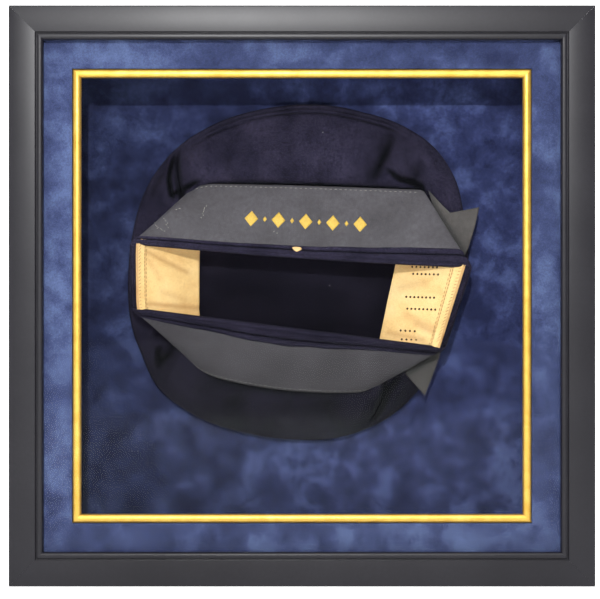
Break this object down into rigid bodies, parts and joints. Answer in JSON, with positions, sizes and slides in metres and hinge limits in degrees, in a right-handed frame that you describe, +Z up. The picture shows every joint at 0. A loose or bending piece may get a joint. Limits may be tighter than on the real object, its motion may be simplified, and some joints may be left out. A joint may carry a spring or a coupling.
{
  "type": "sailor cap in a shadow box frame",
  "caption": "Sailor's round flat wool cap with a ribbon and a leather sweatband, lying crown down in a square glazed shadow box with a mat and gilt fillet.",
  "frame": {"origin": "middle of the face that the box stands on, under its bottom rail", "axes": "+Z up, -Y out through the glass towards the viewer, +Y through the back to the wall, +X to the viewer's right"},
  "size_m": [0.382, 0.071, 0.3785],
  "materials": {
    "navy_wool": "felted navy wool",
    "ribbon": "fine ribbed ribbon, faded black",
    "tan_leather": "smooth pale leather",
    "charcoal_moulding": "satin charcoal lacquer",
    "gilt_fillet": "bright gilding",
    "clear_glass": "clear",
    "blue_suede": "mottled blue suede",
    "brown_paper": "plain backing paper over board"
  },
  "bodies": {
    "root": {"crown_tip": "navy_wool", "crown_side": "navy_wool", "headband": "navy_wool", "rim_welt": "navy_wool", "tally_ribbon": "ribbon", "sweatband": "tan_leather", "sweatband_edging": "tan_leather", "bow_tail_upper": "ribbon", "bow_tail_lower": "ribbon", "bow_knot": "ribbon", "frame_right": "charcoal_moulding", "frame_top": "charcoal_moulding", "frame_left": "charcoal_moulding", "frame_bottom": "charcoal_moulding", "fillet_right": "gilt_fillet", "fillet_top": "gilt_fillet", "fillet_left": "gilt_fillet", "fillet_bottom": "gilt_fillet", "glazing": "clear_glass", "mat": "blue_suede", "backing_board": "blue_suede", "dust_cover": "brown_paper", "spacer_right": "blue_suede", "spacer_top": "blue_suede", "spacer_left": "blue_suede", "spacer_bottom": "blue_suede"}
  },
  "joints": []
}
